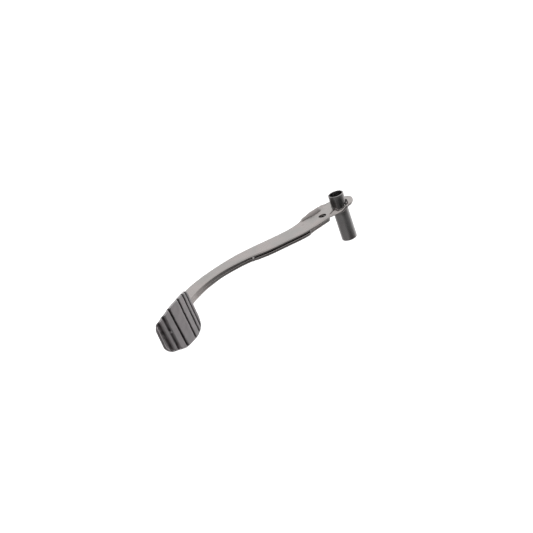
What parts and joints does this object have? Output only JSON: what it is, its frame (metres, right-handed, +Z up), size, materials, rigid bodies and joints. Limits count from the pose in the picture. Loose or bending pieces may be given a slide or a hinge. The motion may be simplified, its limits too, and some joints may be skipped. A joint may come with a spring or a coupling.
{
  "type": "rear foot brake pedal",
  "caption": "Curved pressed-steel foot brake pedal with a ribbed tread at one end and a tubular pivot with bushes and collar at the other.",
  "frame": {"origin": "on the pivot axis, in the plane of the arm's outboard face", "axes": "+X forward from the pivot towards the foot pad, +Y inboard along the pivot tube, +Z up, in the released position on a right-hand side brake"},
  "size_m": [0.286, 0.0564, 0.1054],
  "materials": {
    "plated_arm": "satin nickel-chrome plate over pressed steel, faint grain",
    "plated_tube": "bright plate over drawn tube",
    "plated_tread": "darker satin plate over a ribbed pressing",
    "weld_metal": "plated weld bead, rippled",
    "bush_bronze": "oil-filled sintered bronze",
    "seal_rubber": "black nitrile rubber",
    "collar_zinc": "zinc-plated turned steel"
  },
  "bodies": {
    "collar": {"pivot_collar": "collar_zinc"},
    "pedal": {"arm_outer_shell": "plated_arm", "arm_inner_shell": "plated_arm", "pivot_tube": "plated_tube", "foot_pad": "plated_tread", "weld_tube_outer": "weld_metal", "weld_tube_inner": "weld_metal", "weld_shell_end": "weld_metal", "weld_seam_upper_rear": "weld_metal", "weld_seam_upper_front": "weld_metal", "weld_seam_lower": "weld_metal", "weld_pad_outer": "weld_metal", "weld_pad_inner": "weld_metal", "bush_outer": "bush_bronze", "bush_inner": "bush_bronze", "seal_outer": "seal_rubber", "seal_inner": "seal_rubber"}
  },
  "joints": [
    {"name": "pedal_pivot", "type": "hinge", "parent": "collar", "child": "pedal", "pos_m": [0, 0, 0], "axis": [0, 1, 0], "range_deg": [0, 20], "stiffness_Nm_per_rad": 3, "springref_deg": -28.65}
  ]
}
